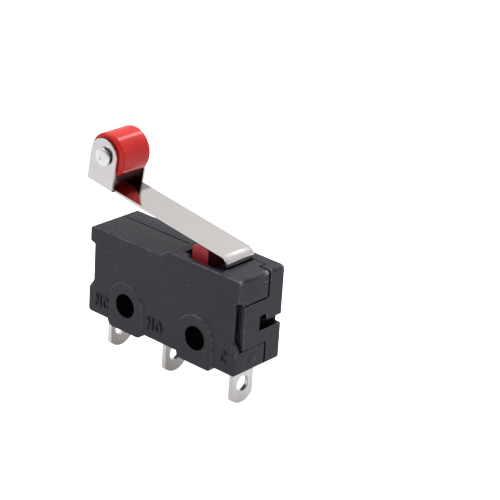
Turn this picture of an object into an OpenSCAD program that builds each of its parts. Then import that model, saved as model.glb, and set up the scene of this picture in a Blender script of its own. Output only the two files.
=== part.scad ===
// Subminiature lever switch with a roller: a two-part moulded housing, a snap-action
// spring blade between two fixed contacts, a plunger and a folded roller lever.
// X runs along the housing towards the lever's hinge, Y runs through the mounting holes
// from the lettered front to the cover, and Z points up to the lever.
// The origin is midway between the two mounting holes.

/* [Housing] */
// Length of the housing
body_l = 20; // [18.8:0.1:21.5]
// Depth of the housing, from the front face to the cover's face
body_w = 6.4; // [6.2:0.1:7.4]
// Height of the low part of the top over the mounting holes
top_low = 7; // [6.9:0.05:7.4]
// Height of the raised part of the top over the low part
top_step = 0.7; // [0.5:0.05:0.9]
// Distance from the mounting holes down to the underside
base_drop = 2.3; // [2.2:0.02:2.8]
// How far the feet under the mounting holes stand below the underside
foot_drop = 0.55; // [0.3:0.05:0.8]
// Radius of the housing's corners seen from the front
corner_r = 0.35; // [0.2:0.05:0.45]
// Where the ramp to the raised part of the top begins, from the middle of the housing
ramp_start = -0.41; // [-0.8:0.05:0]
// Length of the ramp
ramp_l = 1.01; // [0.7:0.05:1.2]

/* [Mounting holes] */
// Distance between the mounting holes
hole_pitch = 9.5; // [9.2:0.1:9.8]
// Diameter of the mounting holes
hole_d = 2.5; // [2.2:0.05:2.6]
// Radius of the raised land round each mounting hole
land_r = 2.38; // [2.2:0.02:2.5]
// How far each land stands proud of the housing's face
land_raise = 0.15; // [0.1:0.05:0.3]
// Radius of the tube round each mounting hole inside the housing
tube_r = 2.12; // [1.9:0.02:2.14]

/* [Walls and seam] */
// Thickness of the case's front wall
front_wall = 1; // [0.8:0.05:1.1]
// Thickness of the cover's wall
cover_wall = 0.9; // [0.7:0.05:1]
// Thickness of the bottom wall
floor_wall = 1; // [0.8:0.05:1.2]
// Thickness of the top wall under the low part of the top
roof_wall = 0.6; // [0.5:0.05:0.7]
// Thickness of the end walls behind the latch arms
end_wall = 0.4; // [0.3:0.02:0.44]
// Depth of the cover, from its face to the seam with the case
cover_depth = 2.2; // [1.9:0.05:2.3]
// Depth of the cover beside the lever's channel
ledge_depth = 1.3; // [1:0.01:1.35]
// Width of the open groove along the seam between case and cover
seam_gap = 0.12; // [0.08:0.01:0.15]
// Distance from the hinge end to the end of the case's tongue beside the channel
tongue_inset = 1.45; // [1.2:0.05:1.8]

/* [Latch arms] */
// Depth of the recess in each end of the housing
recess_d = 0.62; // [0.5:0.02:0.7]
// Height of the top edge of the latch arms over the mounting holes
arm_top = 4.82; // [4.6:0.02:4.9]
// Height of the bottom edge of the latch arms over the mounting holes
arm_bottom = 0.12; // [0.1:0.02:0.3]
// Distance from the front face to the tip of each latch arm
arm_tip = 1; // [0.9:0.01:1.3]
// Gap round each latch arm
arm_gap = 0.05; // [0.03:0.01:0.08]
// Gap over the top edge of each latch arm
arm_slack = 0.16; // [0.1:0.01:0.2]
// Thickness of the case's lip in front of each latch arm
lip_w = 0.5; // [0.4:0.02:0.7]
// Height of the bottom of the latch windows over the mounting holes
window_z = 1.62; // [1.4:0.02:1.8]
// Height of each latch window
window_h = 1.55; // [1.4:0.05:1.7]
// Height of the window's slot through the cover's corner
window_slot_h = 0.9; // [0.7:0.05:1]
// Width of each latch window in the arm
window_w = 0.94; // [0.9:0.02:1.2]
// How far each catch stands out in its window
catch_d = 0.34; // [0.2:0.02:0.4]
// Height of each catch
catch_h = 0.65; // [0.5:0.05:0.7]

/* [Lever channel] */
// Distance from the front face to the channel
rail_w = 0.7; // [0.6:0.05:0.8]
// Distance from the middle of the housing to the start of the channel
channel_start = 2.4; // [2.2:0.05:2.5]
// Distance from the middle of the housing to the channel's end wall
channel_end = 7.15; // [7.1:0.05:7.4]
// Length of the slot for the lever's tail in the channel's floor
tail_slot_l = 1.2; // [1.1:0.05:1.25]

/* [Plunger] */
// Distance of the plunger from the middle of the housing
plunger_x = 3.7; // [3.6:0.05:3.8]
// Length of the plunger along the housing
plunger_l = 2.1; // [2:0.05:2.2]
// Distance from the front face to the plunger
plunger_front = 1.2; // [1.15:0.01:1.5]
// Distance from the cover's face to the plunger
plunger_rear = 1.6; // [1.3:0.05:1.8]
// Clearance between the plunger and its slot
plunger_gap = 0.05; // [0.03:0.01:0.08]
// Clearance between the plunger's top and the lever
lever_gap = 0.04; // [0.03:0.01:0.08]
// Radius of the plunger's crowned top
crown_r = 3; // [2:0.1:4]
// Length of the plunger's shoulder inside the housing
shoulder_l = 3; // [2.8:0.05:3.1]
// Thickness of the plunger's shoulder
shoulder_h = 0.6; // [0.5:0.05:0.7]
// Length of the plunger's foot on the blade
plunger_foot_l = 0.9; // [0.7:0.05:1.2]

/* [Lever] */
// Thickness of the lever's sheet
sheet_t = 0.3; // [0.25:0.01:0.32]
// Distance from each face of the housing to the lever's edge
lever_inset = 1.3; // [1.25:0.01:1.5]
// Angle of the lever over the housing's top at rest
lever_tilt = 8.15; // [7.8:0.05:8.6]
// Height of the lever's underside over the mounting holes, above the hinge
lever_h = 8.65; // [8.6:0.01:8.75]
// Inner radius of the lever's fold
fold_r = 0.55; // [0.5:0.01:0.6]
// Angle between the lever's tail and the vertical
tail_lean = 22; // [20:0.5:24]
// Distance of the hinge from the middle of the housing
hinge_x = 6.38; // [6.35:0.01:6.42]
// Depth of the lever's tail under the channel's floor, at its hook
tail_depth = 0.64; // [0.62:0.01:0.7]

/* [Roller bracket] */
// Length of the bracket along the lever
ear_l = 3.53; // [3.3:0.01:3.8]
// How far each ear stands outside the lever's edge
ear_step = 0.38; // [0.35:0.01:0.5]
// Distance from the hinge to the roller's axis, along the lever
roller_reach = 16.38; // [15.8:0.02:16.6]
// Height of the roller's axis over the lever's underside
axle_h = 3.4; // [3.2:0.05:3.6]
// Radius of the round top of the ears
ear_r = 1.78; // [1.7:0.02:1.9]

/* [Roller and pin] */
// Diameter of the roller
roller_d = 4.6; // [4.2:0.05:4.7]
// Gap between the roller and each ear
roller_gap = 0.05; // [0.04:0.01:0.15]
// Radius of the roller's rounded rims
roller_rim_r = 0.28; // [0.2:0.02:0.6]
// Diameter of the pin's shank
pin_d = 1.2; // [1:0.05:1.4]
// Clearance of the roller on the pin, on the radius
pin_gap = 0.05; // [0.03:0.01:0.08]
// Diameter of the pin's formed end at the front
rivet_d = 1.9; // [1.7:0.05:2.1]
// Height of the formed end over the ear
rivet_h = 0.48; // [0.4:0.01:0.55]
// Gap between the formed end and the ear
rivet_gap = 0.2; // [0.1:0.01:0.25]
// Diameter of the pin's flat head at the back
pin_head_d = 2.4; // [2.2:0.05:2.7]
// Thickness of the flat head
pin_head_h = 0.35; // [0.2:0.01:0.4]

/* [Terminals] */
// Distance of the common terminal from the middle of the housing
common_x = 8.15; // [8.05:0.05:8.2]
// Distance of the normally open terminal from the middle of the housing
open_x = -0.85; // [-1.1:0.05:-0.6]
// Distance of the normally closed terminal from the middle of the housing
closed_x = -8.55; // [-8.58:0.01:-8.4]
// Thickness of the terminals
terminal_t = 0.5; // [0.4:0.02:0.54]
// Width of the terminals
terminal_w = 3; // [2.7:0.05:3.1]
// Length of the terminals below the underside
terminal_l = 4.4; // [3.5:0.05:6]
// Diameter of the terminals' wire holes
wire_hole_d = 1.68; // [1.4:0.02:1.8]
// Distance from a terminal's tip to the middle of its wire hole
wire_hole_up = 2.05; // [1.8:0.05:2.3]
// Inner radius of the terminals' bends
bend_r = 0.3; // [0.2:0.02:0.4]

/* [Snap mechanism] */
// Height of the spring blade over the mounting holes
blade_z = 4; // [3.95:0.01:4.05]
// Thickness of the spring blade
blade_t = 0.12; // [0.1:0.01:0.14]
// Width of the spring blade
blade_w = 2.8; // [2.6:0.05:2.9]
// Distance from the middle of the housing to the blade's pivot post
post_x = 5.9; // [5.8:0.05:6]
// Distance of the contacts from the middle of the housing
contact_x = -6.6; // [-6.8:0.05:-6.4]
// Diameter of the contacts
contact_d = 1.8; // [1.6:0.05:2]
// Thickness of each contact's head
contact_h = 0.35; // [0.3:0.01:0.38]
// Distance that the moving contact travels between the fixed ones
contact_travel = 0.5; // [0.45:0.01:0.52]
// Air gap left at a closed contact in the drawing
contact_gap = 0.03; // [0.02:0.01:0.04]
// Length of the blade's curved tongue
tongue_l = 4.2; // [4:0.05:4.3]
// Width of the blade's curved tongue
tongue_w = 1; // [0.8:0.05:1.1]
// Drop of the tongue's tip under the blade
tongue_drop = 0.62; // [0.55:0.01:0.66]

/* [Hidden] */
$fn = 48;

// Places that follow from the sizes above
half_l = body_l / 2;
half_w = body_w / 2;
hole_x = hole_pitch / 2;
top_high = top_low + top_step;
ramp_end = ramp_start + ramp_l;
waist_x = half_l - recess_d;
cavity_x = waist_x - end_wall;
cavity_top = top_low - roof_wall;
cavity_bottom = floor_wall - base_drop;
tongue_end = half_l - tongue_inset;
channel_front = rail_w - half_w;
tail_slot_x = channel_end - tail_slot_l;
arm_tip_y = arm_tip - half_w;
tip_z = -base_drop - terminal_l;

// Widths and depths that follow from the housing's depth
seam_y = half_w - cover_depth;
tongue_y = half_w - ledge_depth;
plunger_w = body_w - plunger_front - plunger_rear;
plunger_y = (plunger_front - plunger_rear) / 2;
lever_w = body_w - 2 * lever_inset;
bracket_w = lever_w + 2 * ear_step;
ear_fold_r = ear_step - sheet_t;
window_y = seam_y - window_w;

// One overrun serves every cut
over = 0.5;
// Height of the slopes at the ends of each recess, and how far they lie past the arms
slope_low_h = 0.9;
slope_high_h = 0.22;
recess_low = 0.35;
recess_high = 5.2;
// Depth of the dark gap between the lip and the latch arm, behind the lip's face
lip_gap_d = 0.3;
// Rib of the lip that narrows this gap, and its height range
lip_rib_w = 0.23;
lip_rib_low = 1.6;
lip_rib_high = 4.1;
// Width of the case's inner rim, which closes the seam behind its groove
seam_rim_w = 0.2;
// Extra room beside the plunger at the far side of the channel from the hinge
relief_l = 0.8;
relief_w = 3.4;
// Clearance of the lever's tail in its slot, across the depth
tail_gap = 0.1;
// Clearance of a terminal in the bottom wall
slot_gap = 0.02;
// The hook that holds the lever's tail under the channel's floor
hook_l = 0.4;
// How far the middle of the ears lies past the roller's axis, away from the hinge
ear_shift = 0.16;
// Depth of the dimple in the pin's formed end
dimple_r = 0.3;
dimple_d = 0.12;
// Depth of the straight part of the formed end
rivet_rim = 0.12;
// Round mark on the hinge end of the case
mark_r = 0.55;
mark_d = 0.06;
mark_y = -0.7;
mark_z = -1.15;
// Small locating ring on the cover's face
ring_r = 0.85;
ring_bore_r = 0.45;
ring_x = 6.4;
ring_z = 4.9;
ring_d = 0.4;
// Radius of the terminals' rounded tips
tip_r = 1.9;
// Distance from the contacts to the ends of the blade and of the legs that carry them
contact_margin = 1.15;
// Height of the terminals' legs inside the housing
open_leg_z = tube_r + slot_gap + slot_gap;
common_leg_z = tube_r + slot_gap + slot_gap;
closed_leg_z = blade_z + blade_t / 2 + contact_h + contact_gap + contact_h;
// Thickness of the contacts' rivets in the blade and legs
rivet_shank_r = 0.45;
// Root of the tongue, measured from the contacts
tongue_root = 3.5;
tongue_slot = 0.12;
// Angle by which the tongue's bow runs into the blade at its root
lap_angle = 0.12;
// How far the tongue's tip reaches into its post's notch
tongue_in = 0.15;
// Height of the notch in the pivot post, and the post's height over the blade
post_over = 0.25;
post_notch = 0.3;

// A slab of the outline seen from the front, between two depths
module slab(y_from, y_to) {
    translate([0, y_to, 0]) rotate([90, 0, 0]) linear_extrude(y_to - y_from) children();
}

// A block between two corners
module block(low, high) {
    translate(low) cube(high - low);
}

// A rod along Y between two depths
module rod(r, y_from, y_to) {
    slab(y_from, y_to) circle(r);
}

// A rectangle with rounded corners, between two corners
module soft_rect(low, high, r) {
    translate([low[0] + r, low[1]]) square([high[0] - low[0] - 2 * r, high[1] - low[1]]);
    translate([low[0], low[1] + r]) square([high[0] - low[0], high[1] - low[1] - 2 * r]);
    for (x = [low[0] + r, high[0] - r], z = [low[1] + r, high[1] - r]) translate([x, z]) circle(r);
}

// A bent stretch of sheet seen on edge: a ring sector from one angle to another
module bend(r_in, t, from, to) {
    reach = 2 * (r_in + t);
    middle = (from + to) / 2;
    difference() {
        intersection() {
            circle(r_in + t);
            polygon([[0, 0], reach * [cos(from), sin(from)], reach * [cos(middle), sin(middle)],
                reach * [cos(to), sin(to)]]);
        }
        circle(r_in);
    }
}

// Housing: the outline that case and cover share, seen from the front
module body_outline() {
    soft_rect([-half_l, -base_drop], [half_l, top_low], corner_r);
    soft_rect([ramp_end, cavity_top], [half_l, top_high], corner_r);
    polygon([[ramp_start, cavity_top], [ramp_start, top_low], [ramp_end, top_high],
        [ramp_end + 2 * corner_r, top_high], [ramp_end + 2 * corner_r, cavity_top]]);
    for (side = [-1, 1]) translate([side * hole_x, 0]) foot_outline();
}

// The tombstone shape of one land and the foot under it
module foot_outline() {
    circle(land_r);
    soft_rect([-land_r, -base_drop - foot_drop], [land_r, 0], 2 * corner_r);
}

// The hollow inside the housing, seen from the front
module cavity_outline() {
    difference() {
        translate([-cavity_x, cavity_bottom]) square([2 * cavity_x, cavity_top - cavity_bottom]);
        for (side = [-1, 1]) translate([side * hole_x, 0]) {
            circle(tube_r);
            translate([-tube_r, -base_drop]) square([2 * tube_r, base_drop]);
        }
    }
}

// The raised lands round the mounting holes, between two depths
module lands(y_from, y_to) {
    slab(y_from, y_to) for (side = [-1, 1]) translate([side * hole_x, 0]) foot_outline();
}

// The two mounting holes, as one cut through everything
module mounting_holes() {
    for (side = [-1, 1]) translate([side * hole_x, 0, 0]) rod(hole_d / 2, -body_w, body_w);
}

// Slots for the three terminals in the bottom wall
module terminal_slots() {
    for (x = [common_x, open_x, closed_x]) {
        block([x - terminal_t / 2 - slot_gap, -terminal_w / 2 - slot_gap, -base_drop - over],
            [x + terminal_t / 2 + slot_gap, terminal_w / 2 + slot_gap, cavity_bottom + over]);
    }
}

// Case: the front half of the housing
module case() {
    color("#34343a") difference() {
        union() {
            difference() {
                slab(-half_w, seam_y) body_outline();
                slab(front_wall - half_w, seam_y + over) cavity_outline();
                for (side = [-1, 1]) mirror([side < 0 ? 1 : 0, 0, 0]) arm_pocket();
            }
            lands(-half_w - land_raise, land_raise - half_w);
            block([ramp_end, seam_y - over, cavity_top], [tongue_end, tongue_y, top_high]);
            for (side = [-1, 1]) mirror([side < 0 ? 1 : 0, 0, 0]) {
                catch();
                lip_rib();
            }
            seam_rim();
            end_mark();
        }
        mounting_holes();
        terminal_slots();
        lever_channel();
    }
}

// Room for one latch arm in the end of the case: the recess in front of the arm with its
// sloped ends, the arm's own room, and the dark gap at the arm's tip
module arm_pocket() {
    slab(-body_w, (lip_w + arm_tip) / 2 - half_w) polygon([[waist_x, recess_low + slope_low_h],
        [half_l, recess_low], [half_l + over, recess_low], [half_l + over, recess_high + slope_high_h],
        [half_l, recess_high + slope_high_h], [waist_x, recess_high]]);
    block([waist_x, lip_w - half_w, arm_bottom - arm_gap],
        [half_l + over, seam_y + over, arm_top + arm_slack]);
    block([waist_x - lip_gap_d, lip_w - half_w, arm_bottom + lip_gap_d],
        [half_l + over, arm_tip_y, arm_top + arm_slack]);
}

// The rib of the lip that narrows the gap at one arm's tip
module lip_rib() {
    block([waist_x - 2 * lip_gap_d, lip_w / 2 - half_w, lip_rib_low],
        [waist_x, lip_w - half_w + lip_rib_w, lip_rib_high]);
}

// The case's inner rim, flush with the hollow, which the cover rests on
module seam_rim() {
    slab(seam_y - over, seam_y + seam_gap) difference() {
        translate([-cavity_x - seam_rim_w, cavity_bottom - seam_rim_w])
            square([2 * cavity_x + 2 * seam_rim_w, cavity_top - cavity_bottom + 2 * seam_rim_w]);
        cavity_outline();
    }
}

// One catch, a wedge that rises towards the front
module catch() {
    translate([0, 0, window_z + window_h - catch_h - arm_gap]) linear_extrude(catch_h)
        polygon([[waist_x - end_wall / 2, seam_y - arm_gap], [waist_x + catch_d, window_y + arm_gap],
            [waist_x - end_wall / 2, window_y + arm_gap]]);
}

// The round mark on the hinge end
module end_mark() {
    translate([half_l - mark_d, mark_y, mark_z]) rotate([0, 90, 0]) cylinder(h = 2 * mark_d, r = mark_r);
}

// The channel for the lever, with the plunger's slot and the slot for the lever's tail
module lever_channel() {
    plunger_half_l = plunger_l / 2 + plunger_gap;
    plunger_half_w = plunger_w / 2 + plunger_gap;
    block([channel_start, channel_front, top_low], [channel_end, tongue_y + over, top_high + over]);
    block([channel_start - relief_l, plunger_y - relief_w / 2, top_low],
        [channel_start + over, plunger_y + relief_w / 2, top_high + over]);
    block([plunger_x - plunger_half_l, plunger_y - plunger_half_w, cavity_top - over],
        [plunger_x + plunger_half_l, plunger_y + plunger_half_w, top_low + over]);
    block([tail_slot_x, -lever_w / 2 - tail_gap, cavity_top - over],
        [channel_end, lever_w / 2 + tail_gap, top_low + over]);
}

// Cover: the rear half of the housing, with its two latch arms
module cover() {
    color("#3a3a40") difference() {
        union() {
            difference() {
                slab(seam_y + seam_gap, half_w) body_outline();
                slab(seam_y - over, half_w - cover_wall) cavity_outline();
                block([ramp_end - seam_gap, seam_y - over, cavity_top],
                    [tongue_end + seam_gap, tongue_y + seam_gap, top_high + over]);
            }
            lands(half_w - land_raise, half_w + land_raise);
            cover_ring();
            for (side = [-1, 1]) mirror([side < 0 ? 1 : 0, 0, 0]) latch_arm();
        }
        mounting_holes();
        terminal_slots();
        for (side = [-1, 1]) mirror([side < 0 ? 1 : 0, 0, 0]) latch_window();
        translate([ring_x, 0, ring_z]) rod(ring_bore_r, half_w - ring_d, body_w);
    }
}

// One latch arm, reaching forward over the end of the case
module latch_arm() {
    block([waist_x, arm_tip_y, arm_bottom], [half_l, seam_y + over, arm_top]);
}

// The window in one latch arm, and its slot through the cover's corner
module latch_window() {
    block([waist_x, window_y, window_z], [half_l + over, seam_y + arm_gap, window_z + window_h]);
    block([waist_x, window_y, window_z], [half_l + over, body_w, window_z + window_slot_h]);
}

// The small locating ring on the cover's face
module cover_ring() {
    translate([ring_x, 0, ring_z]) rod(ring_r, half_w - land_raise, half_w + land_raise);
}

// Plunger: a crowned top under the lever, a shoulder that holds it in and a foot on the blade
module plunger() {
    top_z = lever_h + (hinge_x - plunger_x) * tan(lever_tilt);
    foot_z = blade_z + blade_t / 2 + lever_gap;
    color("#a81822") {
        slab(plunger_y - plunger_w / 2, plunger_y + plunger_w / 2) {
            intersection() {
                translate([plunger_x - plunger_l / 2, cavity_top - shoulder_h]) square([plunger_l, top_z]);
                union() {
                    translate([plunger_x, top_z - (crown_r + lever_gap) / cos(lever_tilt)]) circle(crown_r);
                    translate([plunger_x - plunger_l / 2, cavity_top - shoulder_h])
                        square([plunger_l, top_low - cavity_top + shoulder_h]);
                }
            }
            translate([plunger_x - plunger_foot_l / 2, foot_z])
                square([plunger_foot_l, cavity_top - foot_z - shoulder_h / 2]);
        }
        block([plunger_x - shoulder_l / 2, plunger_y - plunger_w / 2, cavity_top - plunger_gap - shoulder_h],
            [plunger_x + shoulder_l / 2, plunger_y + plunger_w / 2, cavity_top - plunger_gap]);
    }
}

// Lever: one folded sheet, drawn level from the hinge to the roller and then tilted.
// In its own frame X runs from the hinge to the roller and Z is zero on the sheet's underside.
module lever_frame() {
    translate([hinge_x, 0, lever_h]) rotate([0, lever_tilt, 0]) mirror([1, 0, 0]) children();
}

module lever() {
    ear_start = roller_reach + ear_shift - ear_l / 2;
    ear_end = roller_reach + ear_shift + ear_l / 2;
    color("#c9c6c2") lever_frame() difference() {
        union() {
            slab(-lever_w / 2, lever_w / 2) lever_profile(ear_end);
            for (side = [-1, 1]) mirror([0, side < 0 ? 1 : 0, 0]) ear(ear_start, ear_end);
        }
        translate([roller_reach, 0, axle_h]) rod(pin_d / 2, -body_w, body_w);
    }
}

// The sheet on edge: the straight strip, the fold over the hinge, and the hooked tail
module lever_profile(strip_l) {
    end_angle = 180 + tail_lean - lever_tilt;
    out = [cos(end_angle), sin(end_angle)];
    down = [cos(end_angle + 90), sin(end_angle + 90)];
    under = [-sin(lever_tilt), -cos(lever_tilt)];
    along = [cos(lever_tilt), -sin(lever_tilt)];
    drop = lever_h - top_low + tail_depth - fold_r * (cos(lever_tilt) + sin(tail_lean));
    tail_in = [0, -fold_r] + fold_r * out;
    tail_out = tail_in + sheet_t * out;
    hook_in = tail_in + drop / cos(tail_lean) * down;
    hook_out = hook_in + sheet_t * out + sheet_t * (1 - sin(tail_lean)) / cos(tail_lean) * down;
    tip_in = hook_in + hook_l * along;
    square([strip_l, sheet_t]);
    translate([0, -fold_r]) bend(fold_r, sheet_t, 90, end_angle);
    polygon([tail_in, tail_out, hook_out, tip_in + sheet_t * under, tip_in, hook_in]);
}

// One ear of the bracket, with its fold
module ear(from, to) {
    half = bracket_w / 2;
    base = ear_fold_r + sheet_t;
    slab(half - sheet_t, half) {
        translate([from, base]) square([to - from, axle_h - base]);
        translate([(from + to) / 2, axle_h]) intersection() {
            circle(ear_r);
            translate([(from - to) / 2, -ear_r]) square([to - from, 2 * ear_r]);
        }
    }
    translate([from, half - base, base]) rotate([90, 0, 90]) linear_extrude(to - from)
        bend(ear_fold_r, sheet_t, -90, 0);
}

// A point of the lever's own frame, seen from the front
function on_lever(along, up) = [
    hinge_x - along * cos(lever_tilt) + up * sin(lever_tilt),
    lever_h + along * sin(lever_tilt) + up * cos(lever_tilt)
];

// Roller: a turned wheel with rounded rims, free on its pin
module roller() {
    half = bracket_w / 2 - sheet_t - roller_gap;
    at = on_lever(roller_reach, axle_h);
    color("#d01c20") translate([at[0], 0, at[1]]) rotate([90, 0, 0]) rotate_extrude()
        translate([pin_d / 2 + pin_gap, -half]) roller_section(roller_d / 2 - pin_d / 2 - pin_gap, 2 * half);
}

// Half section of the roller, square at the bore and rounded at the rims
module roller_section(w, h) {
    square([w - roller_rim_r, h]);
    translate([0, roller_rim_r]) square([w, h - 2 * roller_rim_r]);
    for (z = [roller_rim_r, h - roller_rim_r]) translate([w - roller_rim_r, z]) circle(roller_rim_r);
}

// Roller pin: a rivet with a flat head at the back and a formed, dimpled end at the front
module roller_pin() {
    half = bracket_w / 2;
    at = on_lever(roller_reach, axle_h);
    dome_h = rivet_h - rivet_gap - rivet_rim;
    dome_r = (rivet_d * rivet_d / 4 + dome_h * dome_h) / (2 * dome_h);
    color("#d8d5d0") translate([at[0], 0, at[1]]) {
        rod(pin_d / 2, -half - rivet_gap - rivet_rim / 2, half);
        rod(pin_head_d / 2, half, half + pin_head_h);
        difference() {
            intersection() {
                rod(rivet_d / 2, -half - rivet_h, -half - rivet_gap);
                translate([0, -half - rivet_h + dome_r, 0]) sphere(dome_r);
            }
            translate([0, -half - rivet_h, 0]) rotate([90, 0, 0]) cylinder(h = 2 * dimple_d, r = dimple_r,
                center = true);
        }
    }
}

// One terminal's blade below and inside the housing, up to a height, with its wire hole
module terminal_blade(x, top) {
    slot_z = tip_z + wire_hole_up;
    translate([x - terminal_t / 2, 0, 0]) rotate([90, 0, 90]) linear_extrude(terminal_t) difference() {
        intersection() {
            translate([-terminal_w / 2, tip_z]) square([terminal_w, top - tip_z]);
            union() {
                translate([0, tip_z + tip_r]) circle(tip_r);
                translate([-terminal_w / 2, tip_z + tip_r]) square([terminal_w, top - tip_z]);
            }
        }
        translate([0, slot_z]) circle(wire_hole_d / 2);
    }
}

// A leg of terminal sheet inside the housing, seen from the front: from its bend to its end
module leg_outline(x, z, side, end_x) {
    start = x + side * (terminal_t / 2 + bend_r);
    translate([min(start, end_x), z]) square([abs(end_x - start), terminal_t]);
}

// Common terminal: its leg carries the blade's pivot post and the tongue's post
module common_terminal() {
    leg_end = contact_x + tongue_root + tongue_l - tongue_in;
    bend_z = common_leg_z + terminal_t + bend_r;
    post_top = blade_z + blade_t / 2 + post_over;
    color("#c4bfb8") {
        terminal_blade(common_x, common_leg_z - bend_r);
        slab(-terminal_w / 2, terminal_w / 2) {
            translate([common_x - terminal_t / 2 - bend_r, common_leg_z - bend_r])
                bend(bend_r, terminal_t, 0, 90);
            leg_outline(common_x, common_leg_z, -1, leg_end);
        }
        pivot_post(post_top);
        tongue_post(leg_end);
    }
}

// The post whose notch holds the rear edge of the blade
module pivot_post(top) {
    difference() {
        block([post_x, -terminal_w / 2, common_leg_z + terminal_t],
            [post_x + terminal_t, terminal_w / 2, top]);
        block([post_x - over, -terminal_w, blade_z - post_notch / 2],
            [post_x + terminal_t / 2, terminal_w, blade_z + post_notch / 2]);
    }
}

// The post whose notch holds the tip of the tongue
module tongue_post(leg_end) {
    tip = blade_z - tongue_drop;
    difference() {
        block([leg_end, -tongue_w / 2, common_leg_z + terminal_t],
            [leg_end + terminal_t, tongue_w / 2, tip + post_notch]);
        block([leg_end - over, -tongue_w, tip - post_notch / 2],
            [leg_end + terminal_t / 2, tongue_w, tip + post_notch / 2]);
    }
}

// Normally open terminal: its leg passes over the tube of a mounting hole to the lower contact
module normally_open_terminal() {
    color("#c4bfb8") {
        terminal_blade(open_x, open_leg_z - bend_r);
        slab(-terminal_w / 2, terminal_w / 2) {
            translate([open_x - terminal_t / 2 - bend_r, open_leg_z - bend_r])
                bend(bend_r, terminal_t, 0, 90);
            leg_outline(open_x, open_leg_z, -1, contact_x - contact_margin);
        }
    }
}

// Normally closed terminal: its leg turns over the upper contact
module normally_closed_terminal() {
    color("#c4bfb8") {
        terminal_blade(closed_x, closed_leg_z - bend_r);
        slab(-terminal_w / 2, terminal_w / 2) {
            translate([closed_x + terminal_t / 2 + bend_r, closed_leg_z - bend_r])
                bend(bend_r, terminal_t, 90, 180);
            leg_outline(closed_x, closed_leg_z, 1, contact_x + contact_margin);
        }
    }
}

// Snap blade: a flat spring with a curved tongue cut out of its middle
module snap_blade() {
    root_x = contact_x + tongue_root;
    color("#b98a4e") {
        difference() {
            block([contact_x - contact_margin, -blade_w / 2, blade_z - blade_t / 2],
                [post_x + terminal_t / 4, blade_w / 2, blade_z + blade_t / 2]);
            block([root_x, -tongue_w / 2 - tongue_slot, blade_z - blade_t],
                [root_x + tongue_l + tongue_slot, tongue_w / 2 + tongue_slot, blade_z + blade_t]);
            translate([contact_x, 0, 0]) cylinder(h = 2 * blade_z, r = rivet_shank_r);
        }
        snap_tongue(root_x);
    }
}

// The tongue: a bow under the blade, from its root to the tip in the tongue's post
module snap_tongue(root_x) {
    bow_r = (tongue_l * tongue_l + tongue_drop * tongue_drop) / (2 * tongue_drop);
    sweep = asin(tongue_l / bow_r);
    slab(-tongue_w / 2, tongue_w / 2) translate([root_x, blade_z + blade_t / 2 - bow_r])
        bend(bow_r - blade_t, blade_t, 90 - sweep, 90 + lap_angle);
}

// Moving contact: a rivet with a head on both sides of the blade
module moving_contact() {
    color("#d9d6c8") translate([contact_x, 0, blade_z]) {
        translate([0, 0, -blade_t / 2]) cylinder(h = blade_t, r = rivet_shank_r);
        for (side = [-1, 1]) mirror([0, 0, side < 0 ? 1 : 0]) translate([0, 0, blade_t / 2])
            cylinder(h = contact_h, r = contact_d / 2);
    }
}

// Normally open contact: on top of its leg, one travel under the moving contact
module normally_open_contact() {
    top = blade_z - blade_t / 2 - contact_h - contact_travel;
    color("#d9d6c8") translate([contact_x, 0, open_leg_z + terminal_t])
        cylinder(h = top - open_leg_z - terminal_t, r = contact_d / 2);
}

// Normally closed contact: under its leg, on the moving contact at rest
module normally_closed_contact() {
    color("#d9d6c8") translate([contact_x, 0, closed_leg_z - contact_h])
        cylinder(h = contact_h, r = contact_d / 2);
}

case();
cover();
plunger();
lever();
roller();
roller_pin();
common_terminal();
normally_open_terminal();
normally_closed_terminal();
snap_blade();
moving_contact();
normally_open_contact();
normally_closed_contact();
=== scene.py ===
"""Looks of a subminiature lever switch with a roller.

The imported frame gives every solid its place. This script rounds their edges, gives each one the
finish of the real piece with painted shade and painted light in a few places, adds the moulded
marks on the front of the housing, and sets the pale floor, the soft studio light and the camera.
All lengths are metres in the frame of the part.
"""

import logging
import math
from dataclasses import dataclass, field
from enum import Enum

import bmesh
import bpy
import numpy as np
from mathutils import Matrix, Vector


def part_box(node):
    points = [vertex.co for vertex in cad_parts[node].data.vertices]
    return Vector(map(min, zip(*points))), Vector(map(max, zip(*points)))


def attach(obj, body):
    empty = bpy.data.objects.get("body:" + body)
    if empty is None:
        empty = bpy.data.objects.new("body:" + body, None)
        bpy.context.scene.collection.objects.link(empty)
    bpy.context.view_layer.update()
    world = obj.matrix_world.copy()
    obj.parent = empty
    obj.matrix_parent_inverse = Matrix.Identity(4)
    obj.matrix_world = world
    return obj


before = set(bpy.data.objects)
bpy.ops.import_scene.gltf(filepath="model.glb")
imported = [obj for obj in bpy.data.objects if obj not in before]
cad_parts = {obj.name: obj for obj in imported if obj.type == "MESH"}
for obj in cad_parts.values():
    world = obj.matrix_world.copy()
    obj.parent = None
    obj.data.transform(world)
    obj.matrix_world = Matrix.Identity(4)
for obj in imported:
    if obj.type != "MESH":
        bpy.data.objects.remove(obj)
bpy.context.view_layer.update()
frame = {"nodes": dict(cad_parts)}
LOG = logging.getLogger("lever_switch")
MM = 0.001
Colour = tuple[float, float, float]
Point = tuple[float, float, float]
Span = tuple[float, float]
Socket = bpy.types.NodeSocket
Node = bpy.types.Node
Tree = bpy.types.NodeTree
Material = bpy.types.Material
Piece = bpy.types.Object

RIM = 0.03 * MM  # how softly a painted range ends
NOISE_SPAN = (0.3, 0.7)  # where nearly all values of a noise texture lie
FLAT_DEG = 0.2  # triangles that meet at less than this are joined to one face
SAME_CORNER = 0.002 * MM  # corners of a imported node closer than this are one
SAME_POINT = 0.0001 * MM  # the same for the points of a computed surface


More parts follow.
